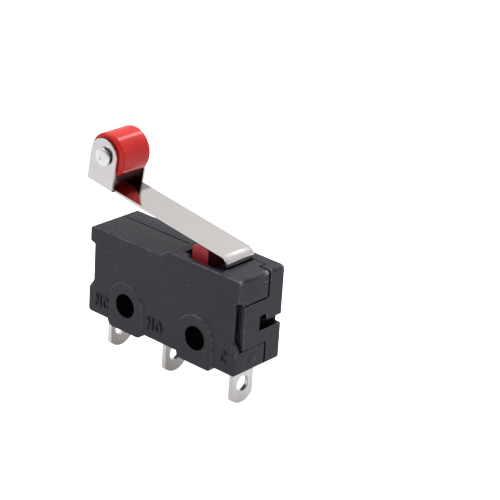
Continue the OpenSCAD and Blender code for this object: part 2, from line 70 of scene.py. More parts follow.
class Graph:
    """A node tree in the making, with short calls for its nodes and links."""

    def __init__(self, tree: Tree) -> None:
        """Keeps the tree that the nodes go into.

        Args:
            tree: the tree of a material, a world or a node group.
        """
        self.tree = tree

    def node(self, kind: str, **settings: object) -> Node:
        """Adds a node.

        Args:
            kind: Blender's name for the node's type.
            settings: properties of the node, set as they are.

        Returns:
            The new node.
        """
        made = self.tree.nodes.new(kind)
        for name, value in settings.items():
            setattr(made, name, value)
        return made

    def feed(self, socket: Socket, value: object) -> None:
        """Links a socket to an output, or sets its value.

        Args:
            socket: the input to feed.
            value: an output socket, a number, or a colour or vector as a tuple.
        """
        if isinstance(value, bpy.types.NodeSocket):
            self.tree.links.new(value, socket)
        elif isinstance(value, tuple) and len(value) == 3 and len(socket.default_value) == 4:
            socket.default_value = (*value, 1.0)
        else:
            socket.default_value = value

    def math(self, operation: str, *values: object) -> Socket:
        """Adds a Math node, or a row of them where there are more than two values.

        Args:
            operation: Blender's name for the operation.
            values: its inputs, as numbers or output sockets. From the third on, each value meets
                the result so far in a node of its own.

        Returns:
            The last node's output.
        """
        *before, last = values
        if len(before) > 1:
            before = [self.math(operation, *before)]
        made = self.node("ShaderNodeMath", operation=operation)
        for socket, value in zip(made.inputs, (*before, last)):
            self.feed(socket, value)
        return made.outputs[0]

    def remap(self, value: object, span: Span, results: Span = (0.0, 1.0)) -> Socket:
        """Maps one range smoothly onto another, held at its ends.

        Args:
            value: the output socket to map.
            span: the two values between which the result changes.
            results: the results at these two values.

        Returns:
            The mapped value.
        """
        made = self.node("ShaderNodeMapRange", interpolation_type="SMOOTHSTEP")
        for socket, number in zip(made.inputs, (value, *span, *results)):
            self.feed(socket, number)
        return made.outputs[0]

    def within(self, value: object, span: Span, rim: float = RIM) -> Socket:
        """A mask that is 1 between two values and falls to 0 just outside them.

        Args:
            value: the output socket to test.
            span: where the range begins and ends.
            rim: how far outside the range the mask reaches 0.

        Returns:
            The mask.
        """
        low, high = span
        half = (high - low) / 2
        off = self.math("ABSOLUTE", self.math("SUBTRACT", value, (low + high) / 2))
        return self.remap(off, (half, half + rim), (1.0, 0.0))

    def dot(self, first: Socket, second: object) -> Socket:
        """Multiplies two vectors to a number.

        Args:
            first: a vector's output socket.
            second: an output socket or a vector as a tuple.

        Returns:
            The scalar product.
        """
        made = self.node("ShaderNodeVectorMath", operation="DOT_PRODUCT")
        self.feed(made.inputs[0], first)
        self.feed(made.inputs[1], second)
        return made.outputs["Value"]

    def split(self, vector: Socket) -> tuple[Socket, ...]:
        """Takes a vector apart.

        Args:
            vector: the vector's output socket.

        Returns:
            Its X, Y and Z.
        """
        made = self.node("ShaderNodeSeparateXYZ")
        self.feed(made.inputs[0], vector)
        return tuple(made.outputs)

    def facing(self) -> tuple[Socket, ...]:
        """Gives the direction that a face itself looks in, without any smoothing.

        Returns:
            The X, Y and Z of its normal.
        """
        return self.split(self.node("ShaderNodeNewGeometry").outputs["True Normal"])

    def noise(self, coords: Socket, scale: object, detail: float, rough: float = 0.5) -> Socket:
        """Adds a noise texture and returns its value.

        Args:
            coords: the coordinates that it reads.
            scale: how many lumps it has in a metre.
            detail: its octaves.
            rough: how strong the finer octaves are.

        Returns:
            The noise value, about 0.5 on average.
        """
        made = self.node("ShaderNodeTexNoise")
        inputs = {"Vector": coords, "Scale": scale, "Detail": detail, "Roughness": rough}
        for name, value in inputs.items():
            self.feed(made.inputs[name], value)
        return made.outputs[0]

    def blend(self, mask: object, low: object, high: object) -> Socket:
        """Mixes two colours by a mask.

        Args:
            mask: 0 gives low and 1 gives high.
            low: a colour or an output socket.
            high: a colour or an output socket.

        Returns:
            The mixed colour.
        """
        made = self.node("ShaderNodeMix", data_type="RGBA")
        for place, value in ((0, mask), (6, low), (7, high)):
            self.feed(made.inputs[place], value)
        return made.outputs[2]

    def place(self, turn_deg: Point = (0.0, 0.0, 0.0), stretch: Point = (1.0, 1.0, 1.0)) -> Socket:
        """Gives the object's own coordinates, turned and stretched.

        Args:
            turn_deg: turn about each axis in degrees, undone on the coordinates.
            stretch: length of one unit of the pattern along each turned axis.

        Returns:
            The coordinates of the pattern.
        """
        turned = self.node("ShaderNodeMapping", vector_type="TEXTURE")
        self.feed(turned.inputs["Vector"], self.node("ShaderNodeTexCoord").outputs["Object"])
        self.feed(turned.inputs["Rotation"], tuple(math.radians(a) for a in turn_deg))
        self.feed(turned.inputs["Scale"], stretch)
        return turned.outputs[0]


class Effect(Enum):
    """The surface effects that several finishes share."""

    GRAIN = "moulded_grain"
    STREAKS = "rolled_streaks"
    SCUFFS = "handling_scuffs"
    SPECKS = "dust_specks"
    # Pale broken lines on rounded edges: partly abrasion, partly a painted highlight.
    EDGES = "abraded_and_highlit_edges"


class Effects:
    """The shared effects, each a node group that is built once."""

    def __init__(self) -> None:
        """Builds all the groups."""
        self.groups = {
            Effect.GRAIN: self._grain(),
            Effect.STREAKS: self._streaks(),
            Effect.SCUFFS: self._scuffs(),
            Effect.SPECKS: self._specks(),
            Effect.EDGES: self._edges(),
        }

    @staticmethod
    def _group(effect: Effect, numbers: tuple[str, ...], results: tuple[str, ...],
               vectors: tuple[str, ...] = ("Coords",)) -> tuple[Graph, dict[str, Socket], Node]:
        """Starts a group with vector inputs, number inputs and number outputs.

        Args:
            effect: which effect it is.
            numbers: the names of its number inputs, which every material sets.
            results: the names of its outputs.
            vectors: the names of its vector inputs.

        Returns:
            The graph, its inputs by name, and its output node.
        """
        tree = bpy.data.node_groups.new(effect.value, "ShaderNodeTree")
        for names, way, kind in ((vectors, "INPUT", "Vector"), (numbers, "INPUT", "Float"),
                                 (results, "OUTPUT", "Float")):
            for name in names:
                tree.interface.new_socket(name, in_out=way, socket_type=f"NodeSocket{kind}")
        graph = Graph(tree)
        entry, leave = graph.node("NodeGroupInput"), graph.node("NodeGroupOutput")
        return graph, {s.name: s for s in entry.outputs if s.name}, leave

    def _grain(self) -> Tree:
        """Fine spark-eroded grain, with slow clouds of tone over it.

        Returns:
            The group: Grain and Cloud are lumps per metre; it gives Height and Cloud.
        """
        pit_scale, pit_share, fine_share = 0.37, 0.35, 0.65
        graph, given, leave = self._group(Effect.GRAIN, ("Grain", "Cloud"), ("Height", "Cloud"))
        coords, scale = given["Coords"], given["Grain"]
        fine = graph.noise(coords, scale, detail=2.0, rough=0.6)
        pits = graph.noise(coords, graph.math("MULTIPLY", scale, pit_scale), detail=1.0)
        slow = graph.noise(coords, given["Cloud"], detail=3.0, rough=0.55)
        graph.feed(leave.inputs["Height"], graph.math(
            "ADD", graph.math("MULTIPLY", fine, fine_share),
            graph.math("MULTIPLY", pits, pit_share)))
        graph.feed(leave.inputs["Cloud"], graph.remap(slow, NOISE_SPAN))
        return graph.tree

    def _streaks(self) -> Tree:
        """Long thin streaks that rolling leaves along a sheet, coarse and fine.

        Returns:
            The group: Fine is streaks per metre across the sheet; it gives Height and Tone.
        """
        broad_scale, broad_share, fine_share, broad_span = 0.16, 0.4, 0.6, (0.32, 0.68)
        graph, given, leave = self._group(Effect.STREAKS, ("Fine",), ("Height", "Tone"))
        coords, scale = given["Coords"], given["Fine"]
        fine = graph.noise(coords, scale, detail=3.0, rough=0.65)
        broad = graph.noise(coords, graph.math("MULTIPLY", scale, broad_scale), detail=2.0)
        graph.feed(leave.inputs["Height"], graph.math(
            "ADD", graph.math("MULTIPLY", fine, fine_share),
            graph.math("MULTIPLY", broad, broad_share)))
        graph.feed(leave.inputs["Tone"], graph.remap(broad, broad_span))
        return graph.tree

    def _scuffs(self) -> Tree:
        """Short thin scratches from handling, in two leaning directions.

        Returns:
            The group: Along and Across are scratches per metre; it gives Mask.
        """
        turns, fade = (1.0, 0.7, 0.9), 0.06
        graph, given, leave = self._group(Effect.SCUFFS, ("Along", "Across"), ("Mask",))
        marks = []
        for lean, level in ((0.5, 0.8), (-1.1, 0.82)):
            turned = graph.node("ShaderNodeVectorRotate", rotation_type="EULER_XYZ")
            graph.feed(turned.inputs["Vector"], given["Coords"])
            graph.feed(turned.inputs["Rotation"], tuple(lean * turn for turn in turns))
            scale = graph.node("ShaderNodeCombineXYZ")
            for axis, name in enumerate(("Along", "Across", "Across")):
                graph.feed(scale.inputs[axis], given[name])
            spread = graph.node("ShaderNodeVectorMath", operation="MULTIPLY")
            graph.feed(spread.inputs[0], turned.outputs[0])
            graph.feed(spread.inputs[1], scale.outputs[0])
            line = graph.noise(spread.outputs[0], 1.0, detail=0.0)
            marks.append(graph.remap(line, (level, level + fade)))
        graph.feed(leave.inputs["Mask"], graph.math("MAXIMUM", *marks))
        return graph.tree

    def _specks(self) -> Tree:
        """Sparse round specks of pale dust.

        Returns:
            The group: Cells is cells per metre, Share how many cells hold a speck; it gives Mask.
        """
        dot_span = (0.045, 0.07)
        graph, given, leave = self._group(Effect.SPECKS, ("Cells", "Share"), ("Mask",))
        cells = graph.node("ShaderNodeTexVoronoi", feature="F1")
        graph.feed(cells.inputs["Vector"], given["Coords"])
        graph.feed(cells.inputs["Scale"], given["Cells"])
        luck = graph.node("ShaderNodeTexWhiteNoise", noise_dimensions="3D")
        graph.feed(luck.inputs["Vector"], cells.outputs["Position"])
        chosen = graph.math("LESS_THAN", luck.outputs["Value"], given["Share"])
        dot = graph.remap(cells.outputs["Distance"], dot_span, (1.0, 0.0))
        graph.feed(leave.inputs["Mask"], graph.math("MULTIPLY", chosen, dot))
        return graph.tree

    def _edges(self) -> Tree:
        """Broken pale lines on rounded edges: partly abrasion, partly a painted highlight.

        On a rounded edge the smoothed normal leaves the face's own one. So the mask grows as
        smooth . flat falls below 1, and a noise breaks the line.

        Returns:
            The group: Lumps is breaks per metre; it gives Mask.
        """
        turned_span, break_span, break_depth = (0.94, 0.975), (0.4, 0.6), (0.2, 1.0)
        graph, given, leave = self._group(
            Effect.EDGES, ("Lumps",), ("Mask",), ("Coords", "Smooth", "Flat"))
        near = graph.dot(given["Smooth"], given["Flat"])
        lumps = graph.noise(given["Coords"], given["Lumps"], detail=3.0, rough=0.7)
        rounded = graph.remap(near, turned_span, (1.0, 0.0))
        broken = graph.remap(lumps, break_span, break_depth)
        graph.feed(leave.inputs["Mask"], graph.math("MULTIPLY", rounded, broken))
        return graph.tree

    def use(self, graph: Graph, effect: Effect, coords: Socket, **numbers: float) -> Node:
        """Places an effect in a material.

        Args:
            graph: the material's graph.
            effect: which effect.
            coords: the coordinates that it reads.
            numbers: the values of its number inputs.

        Returns:
            The group node, whose outputs carry the effect's names.
        """
        made = graph.node("ShaderNodeGroup", node_tree=self.groups[effect])
        graph.feed(made.inputs["Coords"], coords)
        for name, value in numbers.items():
            made.inputs[name].default_value = value
        return made

    def scuffs(self, graph: Graph, coords: Socket, scratches: Span) -> Socket:
        """Places the scuffs in a material.

        Args:
            graph: the material's graph.
            coords: the coordinates that they read.
            scratches: how many there are in a metre, along and across.

        Returns:
            Their mask.
        """
        along, across = scratches
        made = self.use(graph, Effect.SCUFFS, coords, Along=along, Across=across)
        return made.outputs["Mask"]


def new_material(name: str) -> tuple[Material, Graph, Node]:
    """Starts a material that holds one Principled shader.

    Args:
        name: the material's name.

    Returns:
        The material, its graph and its Principled node.
    """
    made = bpy.data.materials.new(name)
    made.use_nodes = True
    graph = Graph(made.node_tree)
    made.node_tree.nodes.clear()
    shader = graph.node("ShaderNodeBsdfPrincipled")
    graph.feed(graph.node("ShaderNodeOutputMaterial").inputs["Surface"], shader.outputs[0])
    return made, graph, shader


def add_bump(graph: Graph, shader: Node, height: Socket, depth: float, strength: float) -> None:
    """Gives a shader a relief.

    Args:
        graph: the material's graph.
        shader: its Principled node.
        height: the relief, from 0 to 1.
        depth: how deep the relief is at 1, in metres.
        strength: how much of it shows.
    """
    bump = graph.node("ShaderNodeBump")
    bump.inputs["Strength"].default_value = strength
    bump.inputs["Distance"].default_value = depth
    graph.feed(bump.inputs["Height"], height)
    graph.feed(shader.inputs["Normal"], bump.outputs[0])


@dataclass(frozen=True)
class MouldedPlastic:
    """An injection-moulded plastic: fine grain, slow clouds, handling scuffs and a few specks."""

    name: str
    deep: Colour
    pale: Colour
    scuffed: Colour
    gloss_rough: float
    matt_rough: float
    grain: float
    grain_depth: float
    grain_strength: float
    dust: float
    specular: float = 0.5
    # How pale rounded edges turn: partly abrasion, partly a painted highlight.
    edge_abrasion_and_highlight: float = 0.0
    # Pale tone of the edges and of the painted light that zones place.
    pale_abrasion_and_light_tone: Colour = (0.2, 0.195, 0.21)
    edge_lumps: float = 1500.0
    # Near-black tone of the painted shade that zones place.
    plastic_painted_shade_tone: Colour = (0.0015, 0.0015, 0.002)
    dust_tone: Colour = (0.55, 0.55, 0.55)
    dust_cells: float = 620.0
    clouds: float = 330.0
    scratches: Span = (240.0, 5200.0)
    scuff_share: float = 0.5
    scuff_rough: float = 0.08

    def build(self, effects: Effects) -> Material:
        """Builds the material.

        Args:
            effects: the shared effects.

        Returns:
            The material.
        """
        made, graph, shader = new_material(self.name)
        coords = graph.place()
        grain = effects.use(graph, Effect.GRAIN, coords, Grain=self.grain, Cloud=self.clouds)
        scuffs = effects.scuffs(graph, coords, self.scratches)
        specks = effects.use(graph, Effect.SPECKS, coords, Cells=self.dust_cells, Share=self.dust)
        edges = effects.use(graph, Effect.EDGES, coords, Lumps=self.edge_lumps)
        normals = graph.node("ShaderNodeNewGeometry")
        graph.feed(edges.inputs["Smooth"], normals.outputs["Normal"])
        graph.feed(edges.inputs["Flat"], normals.outputs["True Normal"])
        # The zones give painted shade, painted light, and edge abrasion with painted highlight.
        dark, painted_light, abrasion_and_highlight = self.zones(graph, coords)
        abraded_and_highlit = graph.math("MULTIPLY", edges.outputs["Mask"], abrasion_and_highlight)
        tone = graph.blend(grain.outputs["Cloud"], self.deep, self.pale)
        tone = graph.blend(graph.math("MULTIPLY", scuffs, self.scuff_share), tone, self.scuffed)
        tone = graph.blend(specks.outputs["Mask"], tone, self.dust_tone)
        tone = graph.blend(graph.math("MAXIMUM", abraded_and_highlit, painted_light), tone, self.pale_abrasion_and_light_tone)
        # Painted shade: near black, and metallic so that it reflects nothing.
        graph.feed(shader.inputs["Base Color"], graph.blend(dark, tone, self.plastic_painted_shade_tone))
        graph.feed(shader.inputs["Metallic"], dark)
        rough = graph.remap(
            grain.outputs["Height"], NOISE_SPAN, (self.gloss_rough, self.matt_rough))
        rough = graph.math("ADD", rough, graph.math("MULTIPLY", scuffs, self.scuff_rough))
        graph.feed(shader.inputs["Roughness"], rough)
        shader.inputs["Specular IOR Level"].default_value = self.specular
        add_bump(graph, shader, grain.outputs["Height"], self.grain_depth, self.grain_strength)
        return made

    def zones(self, graph: Graph, coords: Socket) -> tuple[object, object, object]:
        """Where the moulding gets painted shade and painted light, and how pale its edges turn.

        Args:
            graph: the material's graph, not used here.
            coords: the object's coordinates, not used here.

        Returns:
            The three masks. A plain moulding has no painted shade or light, and even edges.
        """
        return 0.0, 0.0, self.edge_abrasion_and_highlight


@dataclass(frozen=True)
class HousingPlastic(MouldedPlastic):
    """The housing's plastic: painted shade in seam, holes and latch-arm pockets; painted light on
    tips.
    """

    # Where the seam gets painted shade.
    seam_y: Span = (0.96 * MM, 1.16 * MM)
    seam_on_top: float = 0.35
    seam_fade_x: Span = (6 * MM, 9 * MM)
    # Where the pockets behind the latch arms get painted shade.
    pocket_x: Span = (8.9 * MM, 9.88 * MM)
    pocket_y: Span = (-2.1 * MM, 3.0 * MM)
    pocket_z: Span = (0.15 * MM, 4.9 * MM)
    tongue_x: Span = (0.45 * MM, 8.7 * MM)
    hole_x: float = 4.75 * MM
    hole_r: float = 1.28 * MM
    hole_shade: float = 0.75
    lip_x: Span = (8.9 * MM, 9.5 * MM)
    lip_y: Span = (-3.25 * MM, -2.8 * MM)
    # Painted light on the lips' faces beside the arms' tips.
    lip_painted_light: float = 0.12
    lip_face: float = 9.35 * MM
    gap_y: Span = (-2.74 * MM, -2.26 * MM)
    tip_x: Span = (9.52 * MM, 10.1 * MM)
    tip_y: Span = (-2.28 * MM, -2.15 * MM)
    # Painted light on the arms' tip faces.
    tip_painted_light: float = 0.3
    end_x: float = 9.85 * MM
    end_z: float = -0.3 * MM
    spared: float = 0.2

    def zones(self, graph: Graph, coords: Socket) -> tuple[object, object, object]:
        """Painted shade: ranges for pockets, a thin range in Y for the seam, a disc for each hole.

        A range's mask is 1 where |p - middle| < half, with a soft rim; a hole's is hole_shade
        where (|x| - hole_x)^2 + z^2 < hole_r^2. The seam is left out where an arm or the tongue
        beside the channel covers it. The arms' tips and the lips beside them get painted light.
        The lips' edges and the low part of each end get little edge abrasion and painted
        highlight.

        Args:
            graph: the material's graph.
            coords: the object's coordinates.

        Returns:
            The masks of painted shade, painted light, and edge abrasion with painted highlight.
        """
        x, y, z = graph.split(coords)
        side = graph.math("ABSOLUTE", x)
        height = graph.within(z, self.pocket_z)
        near_lip = graph.math("MULTIPLY", graph.within(side, self.lip_x), height)

        # Painted shade: the slot at each lip, the pockets, the open seam and the holes.
        gap = graph.math("MULTIPLY", near_lip, graph.within(y, self.gap_y))
        pocket = graph.math(
            "MULTIPLY", graph.within(side, self.pocket_x), graph.within(y, self.pocket_y), height)
        below = graph.math("LESS_THAN", z, self.pocket_z[0])
        above = graph.math("GREATER_THAN", z, self.pocket_z[1])
        beside = graph.math("SUBTRACT", 1.0, graph.within(x, self.tongue_x))
        open_seam = graph.math("MAXIMUM", below, graph.math("MULTIPLY", above, beside))
        fade = graph.remap(x, self.seam_fade_x, (self.seam_on_top, 1.0))
        seam = graph.math("MULTIPLY", graph.within(y, self.seam_y), fade, open_seam)
        off = graph.math("SUBTRACT", side, self.hole_x)
        square = graph.math("ADD", graph.math("MULTIPLY", off, off), graph.math("MULTIPLY", z, z))
        hole = graph.remap(
            graph.math("SQRT", square), (self.hole_r, self.hole_r + RIM), (self.hole_shade, 0.0))
        dark = graph.math("MAXIMUM", pocket, gap, hole, seam)

        # Painted light on the arms' tips and the lips beside them.
        tip = graph.math(
            "MULTIPLY", graph.within(side, self.tip_x), graph.within(y, self.tip_y), height,
            self.tip_painted_light)
        lip = graph.math(
            "MULTIPLY", near_lip, graph.within(y, self.lip_y),
            graph.math("GREATER_THAN", side, self.lip_face), self.lip_painted_light)

        # Less edge abrasion and painted highlight on the lips and the low part of each end.
        low_end = graph.math(
            "MULTIPLY", graph.math("GREATER_THAN", side, self.end_x),
            graph.math("LESS_THAN", z, self.end_z))
        abrasion_and_highlight = graph.remap(
            graph.math("MAXIMUM", low_end, near_lip), (0.0, 1.0),
            (self.edge_abrasion_and_highlight, self.edge_abrasion_and_highlight * self.spared))
        return dark, graph.math("MAXIMUM", tip, lip), abrasion_and_highlight


@dataclass(frozen=True)
class PlungerPlastic(MouldedPlastic):
    """The plunger's plastic, with painted shade on the side that faces the lever's fold."""

    # Painted shade on the +X faces, under the lever's fold.
    side_painted_shade: float = 0.75
    turned_span: Span = (0.75, 0.95)

    def zones(self, graph: Graph, coords: Socket) -> tuple[object, object, object]:
        """The faces whose normal points along +X get painted shade.

        Args:
            graph: the material's graph.
            coords: the object's coordinates, not used here.

        Returns:
            The masks of painted shade, painted light, and edge abrasion with painted highlight.
        """
        x, _, _ = graph.facing()
        return graph.remap(x, self.turned_span, (0.0, self.side_painted_shade)), 0.0, self.edge_abrasion_and_highlight


@dataclass(frozen=True)
class RolledMetal:
    """A rolled or plated sheet metal: streaks along the sheet, soft stains, light scratches."""

    name: str
    dark: Colour
    bright: Colour
    stain: Colour
    smooth: float
    rough: float
    streak_turn: Point = (0.0, 0.0, 0.0)
    streak_stretch: Point = (28.0, 1.0, 1.0)
    streaks: float = 9000.0
    depth: float = 0.004 * MM
    relief: float = 0.25
    pits: float = 5200.0
    pit_relief: float = 0.35
    stains: float = 420.0
    stain_share: float = 0.4
    stain_rough: float = 0.04
    scratches: Span = (200.0, 6400.0)
    scuff_rough: float = 0.14
    scuff_relief: float = 0.5
    # Tone of the painted shade that a subclass places on the sheet.
    metal_painted_shade_tone: Colour = (0.07, 0.045, 0.05)

    def build(self, effects: Effects) -> Material:
        """Builds the material.

        Args:
            effects: the shared effects.

        Returns:
            The material.
        """
        made, graph, shader = new_material(self.name)
        coords = graph.place()
        along = graph.place(self.streak_turn, self.streak_stretch)
        streaks = effects.use(graph, Effect.STREAKS, along, Fine=self.streaks)
        clouds = effects.use(graph, Effect.GRAIN, coords, Grain=self.pits, Cloud=self.stains)
        scuffs = effects.scuffs(graph, coords, self.scratches)
        stained = graph.math("MULTIPLY", clouds.outputs["Cloud"], self.stain_share)
        tone = graph.blend(streaks.outputs["Tone"], self.dark, self.bright)
        tone = graph.blend(stained, tone, self.stain)
        # Painted shade where a subclass places it.
        tone = graph.blend(self.painted_shade_mask(graph, coords), tone, self.metal_painted_shade_tone)
        graph.feed(shader.inputs["Base Color"], tone)
        shader.inputs["Metallic"].default_value = 1.0
        rough = graph.remap(streaks.outputs["Height"], NOISE_SPAN, (self.smooth, self.rough))
        graph.feed(shader.inputs["Roughness"], graph.math(
            "ADD", rough, graph.math("MULTIPLY", scuffs, self.scuff_rough),
            graph.math("MULTIPLY", clouds.outputs["Cloud"], self.stain_rough)))
        pits = graph.math("MULTIPLY", clouds.outputs["Height"], self.pit_relief)
        height = graph.math("ADD", streaks.outputs["Height"], pits)
        height = graph.math("SUBTRACT", height, graph.math("MULTIPLY", scuffs, self.scuff_relief))
        add_bump(graph, shader, height, self.depth, self.relief)
        return made

    def painted_shade_mask(self, graph: Graph, coords: Socket) -> object:
        """How much of the metal's own tone the painted shade hides.

        Args:
            graph: the material's graph, not used here.
            coords: the object's coordinates, not used here.

        Returns:
            The mask, which is nought all over a sheet without painted shade.
        """
        return 0.0


@dataclass(frozen=True)
class BracketMetal(RolledMetal):
    """The lever's sheet, with painted shade inside the bracket that holds the roller."""

    # Painted shade on the ears' inner faces and on the base under the roller.
    inner_y: Span = (1.93 * MM, 2.02 * MM)
    inner_rim: float = 0.01 * MM
    bracket_x: float = -7.3 * MM
    base_x: Span = (-7.0 * MM, -6.4 * MM)
    base_painted_shade: float = 0.62
    base_up: float = 0.5

    def painted_shade_mask(self, graph: Graph, coords: Socket) -> object:
        """Painted shade on the ears' inner faces, up to the bracket's end, and thinner on its
        base.

        Args:
            graph: the material's graph.
            coords: the object's coordinates.

        Returns:
            The mask.
        """
        x, y, _ = graph.split(coords)
        _, _, up = graph.facing()
        inner = graph.within(graph.math("ABSOLUTE", y), self.inner_y, self.inner_rim)
        ears = graph.math("MULTIPLY", inner, graph.math("LESS_THAN", x, self.bracket_x))
        base = graph.math(
            "MULTIPLY", graph.math("GREATER_THAN", up, self.base_up),
            graph.remap(x, self.base_x, (self.base_painted_shade, 0.0)))
        return graph.math("MAXIMUM", ears, base)


@dataclass(frozen=True)
class PunchedMetal(RolledMetal):
    """A punched blade with painted shade on its broad faces; its sheared edges keep their tone."""

    # Painted shade on the broad faces.
    broad_face_painted_shade: float = 0.8
    turned_span: Span = (0.85, 0.97)

    def painted_shade_mask(self, graph: Graph, coords: Socket) -> object:
        """Painted shade on the broad faces, whose normal lies along X.

        Args:
            graph: the material's graph.
            coords: the object's coordinates, not used here.

        Returns:
            The mask.
        """
        x, _, _ = graph.facing()
        return graph.remap(graph.math("ABSOLUTE", x), self.turned_span, (0.0, self.broad_face_painted_shade))


@dataclass(frozen=True)
class FormedMetal:
    """A cold-formed or cast metal: no direction, only fine pits, clouds and scratches."""

    name: str
    dark: Colour
    bright: Colour
    smooth: float
    rough: float
    depth: float = 0.005 * MM
    relief: float = 0.3
    pits: float = 5600.0
    clouds: float = 900.0
    scratches: Span = (420.0, 7000.0)
    scuff_rough: float = 0.1

    def build(self, effects: Effects) -> Material:
        """Builds the material.

        Args:
            effects: the shared effects.

        Returns:
            The material.
        """
        made, graph, shader = new_material(self.name)
        coords = graph.place()
        pits = effects.use(graph, Effect.GRAIN, coords, Grain=self.pits, Cloud=self.clouds)
        scuffs = effects.scuffs(graph, coords, self.scratches)
        tone = graph.blend(pits.outputs["Cloud"], self.dark, self.bright)
        graph.feed(shader.inputs["Base Color"], tone)
        shader.inputs["Metallic"].default_value = 1.0
        rough = graph.remap(pits.outputs["Height"], NOISE_SPAN, (self.smooth, self.rough))
        rough = graph.math("ADD", rough, graph.math("MULTIPLY", scuffs, self.scuff_rough))
        graph.feed(shader.inputs["Roughness"], rough)
        add_bump(graph, shader, pits.outputs["Height"], self.depth, self.relief)
        return made


Finish = MouldedPlastic | RolledMetal | FormedMetal

LEVER_TILT_DEG = 8.15  # how far the lever's arm rises towards the roller
# Its zones add painted shade and painted light; its edges get abrasion and a painted highlight.
HOUSING_BLACK = HousingPlastic(
    "charcoal_housing_plastic", deep=(0.0165, 0.0142, 0.0225), pale=(0.0215, 0.0187, 0.0285),
    scuffed=(0.11, 0.105, 0.115), gloss_rough=0.38, matt_rough=0.5, grain=5200.0,
    grain_depth=0.012 * MM, grain_strength=0.4, dust=0.02, specular=0.4, edge_abrasion_and_highlight=1.0)
# Painted shade on the plunger's +X faces.
PLUNGER_RED = PlungerPlastic(
    "red_plunger_plastic", deep=(0.4, 0.02, 0.03), pale=(0.5, 0.03, 0.042),
    scuffed=(0.55, 0.12, 0.13), gloss_rough=0.34, matt_rough=0.5, grain=5600.0,
    grain_depth=0.01 * MM, grain_strength=0.35, dust=0.0)
ROLLER_RED = MouldedPlastic(
    "glossy_red_roller_plastic", deep=(0.68, 0.022, 0.02), pale=(0.78, 0.032, 0.026),
    scuffed=(0.6, 0.07, 0.06), gloss_rough=0.13, matt_rough=0.18, grain=3600.0,
    grain_depth=0.005 * MM, grain_strength=0.2, dust=0.0, specular=0.3)
# Painted shade inside the bracket, under the roller.
LEVER_STEEL = BracketMetal(
    "bright_rolled_spring_steel", dark=(0.715, 0.685, 0.67), bright=(0.738, 0.71, 0.695),
    stain=(0.72, 0.682, 0.662), smooth=0.09, rough=0.13,
    streak_turn=(0.0, LEVER_TILT_DEG, 0.0), relief=0.06)
PIN_STEEL = FormedMetal(
    "satin_rivet_steel", dark=(0.85, 0.84, 0.835), bright=(0.93, 0.92, 0.915),
    smooth=0.16, rough=0.28, relief=0.14)
TIN = dict(
    dark=(0.8, 0.78, 0.755), bright=(0.88, 0.86, 0.835), stain=(0.82, 0.79, 0.76),
    smooth=0.2, rough=0.3, streak_turn=(0.0, 90.0, 0.0), streak_stretch=(10.0, 1.0, 1.0),
    relief=0.08, stains=700.0)
TINNED = RolledMetal("tinned_terminal_metal", **TIN)
# The same tinned metal with painted shade on its broad faces.
TINNED_PAINTED_SHADE = PunchedMetal("tinned_terminal_metal_painted_shade", **TIN, metal_painted_shade_tone=(0.44, 0.415, 0.4))
BLADE_BRONZE = RolledMetal(
    "bare_spring_bronze", dark=(0.55, 0.36, 0.18), bright=(0.7, 0.48, 0.26),
    stain=(0.5, 0.31, 0.16), smooth=0.2, rough=0.3)
CONTACT_SILVER = FormedMetal(
    "bright_contact_alloy", dark=(0.8, 0.79, 0.74), bright=(0.9, 0.89, 0.86),
    smooth=0.14, rough=0.26)


@dataclass(frozen=True)
class EdgeBreak:
    """How the edges of a solid are broken: the width of the rounding and where it applies.

    A clamped rounding shrinks all over the piece until it fits the piece's smallest edge.
    """

    width: float
    segments: int = 2
    over_deg: float = 32.0
    clamped: bool = False

    def apply(self, piece: Piece) -> None:
        """Merges the loose triangles, joins flat ones, rounds the edges and smooths the shading.

        Args:
            piece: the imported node's object.
        """
        tree = bpy.data.node_groups.get("join_and_smooth") or self._join_and_smooth()
        piece.modifiers.new("join", "NODES").node_group = tree
        flat = piece.modifiers.new("flatten", "DECIMATE")
        flat.decimate_type = "DISSOLVE"
        flat.angle_limit = math.radians(FLAT_DEG)
        bevel = piece.modifiers.new("round_edges", "BEVEL")
        bevel.width = self.width
        bevel.segments = self.segments
        bevel.limit_method = "ANGLE"
        bevel.angle_limit = math.radians(self.over_deg)
        bevel.use_clamp_overlap = self.clamped
        bevel.harden_normals = False
        piece.modifiers.new("even_shading", "WEIGHTED_NORMAL").keep_sharp = False

    @staticmethod
    def _join_and_smooth() -> Tree:
        """Builds the modifier that merges coincident corners and shades the faces smooth.

        Returns:
            The geometry node tree.
        """
        tree = bpy.data.node_groups.new("join_and_smooth", "GeometryNodeTree")
        for way in ("INPUT", "OUTPUT"):
            tree.interface.new_socket("Geometry", in_out=way, socket_type="NodeSocketGeometry")
        graph = Graph(tree)
        entry, leave = graph.node("NodeGroupInput"), graph.node("NodeGroupOutput")
        merge = graph.node("GeometryNodeMergeByDistance")
        merge.inputs["Distance"].default_value = SAME_CORNER
        smooth = graph.node("GeometryNodeSetShadeSmooth")
        graph.feed(merge.inputs["Geometry"], entry.outputs[0])
        graph.feed(smooth.inputs["Geometry"], merge.outputs[0])
        graph.feed(leave.inputs[0], smooth.outputs[0])
        return tree


